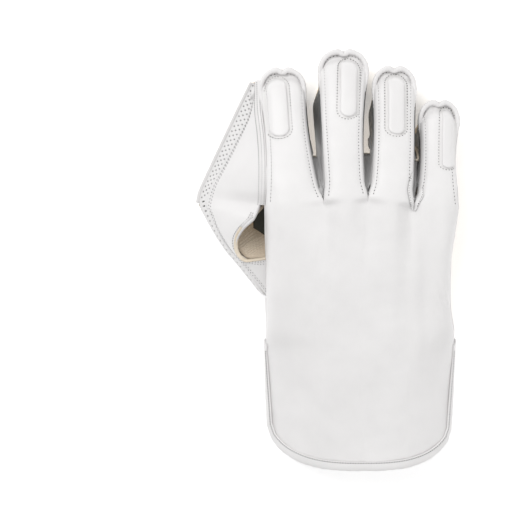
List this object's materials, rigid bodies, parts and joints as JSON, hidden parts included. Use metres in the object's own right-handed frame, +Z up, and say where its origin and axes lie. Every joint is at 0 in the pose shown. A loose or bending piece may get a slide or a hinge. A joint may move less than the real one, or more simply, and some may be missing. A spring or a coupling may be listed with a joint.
{
  "type": "wicketkeeping glove",
  "caption": "White leather padded sports glove for the right hand with webbed thumb, dimpled rubber palm and a stiff flared gauntlet.",
  "frame": {"origin": "middle of the glove's outline on the surface that it lies on, palm down", "axes": "+Y towards the finger tips, +X towards the little finger, +Z up out of the back of the hand"},
  "size_m": [0.2014, 0.3198, 0.0713],
  "materials": {
    "white_leather": "soft white leather with a fine grain",
    "web_leather": "smooth white leather",
    "wall_leather": "white leather seen in the shade of the finger sides",
    "perforated_leather": "white leather with three rows of small holes",
    "binding_leather": "rolled white leather edging with stitches",
    "insert_leather": "smooth bright padded insert",
    "lining_leather": "smooth padded lining with sewn channels",
    "dimpled_rubber": "cream rubber with small raised pimples",
    "piping": "thin grey-white piping"
  },
  "bodies": {
    "root": {"back_panel": "white_leather", "palm_facing": "dimpled_rubber", "index_middle_wall": "wall_leather", "middle_ring_wall": "wall_leather", "ring_little_wall": "wall_leather", "little_side_wall": "wall_leather", "index_side_wall": "wall_leather", "index_seam_strip": "white_leather", "web_panel": "web_leather", "web_edge_strip": "perforated_leather", "thumb_gusset": "perforated_leather", "thumb_facing": "dimpled_rubber", "web_facing": "dimpled_rubber", "heel_panel": "white_leather", "wrist_band": "white_leather", "gauntlet_lining": "lining_leather", "gauntlet_binding": "binding_leather", "web_piping": "piping", "index_tip_roll": "binding_leather", "middle_tip_roll": "binding_leather", "ring_tip_roll": "binding_leather", "little_tip_roll": "binding_leather", "index_insert": "insert_leather", "middle_insert": "insert_leather", "ring_insert": "insert_leather", "little_insert": "insert_leather"}
  },
  "joints": []
}
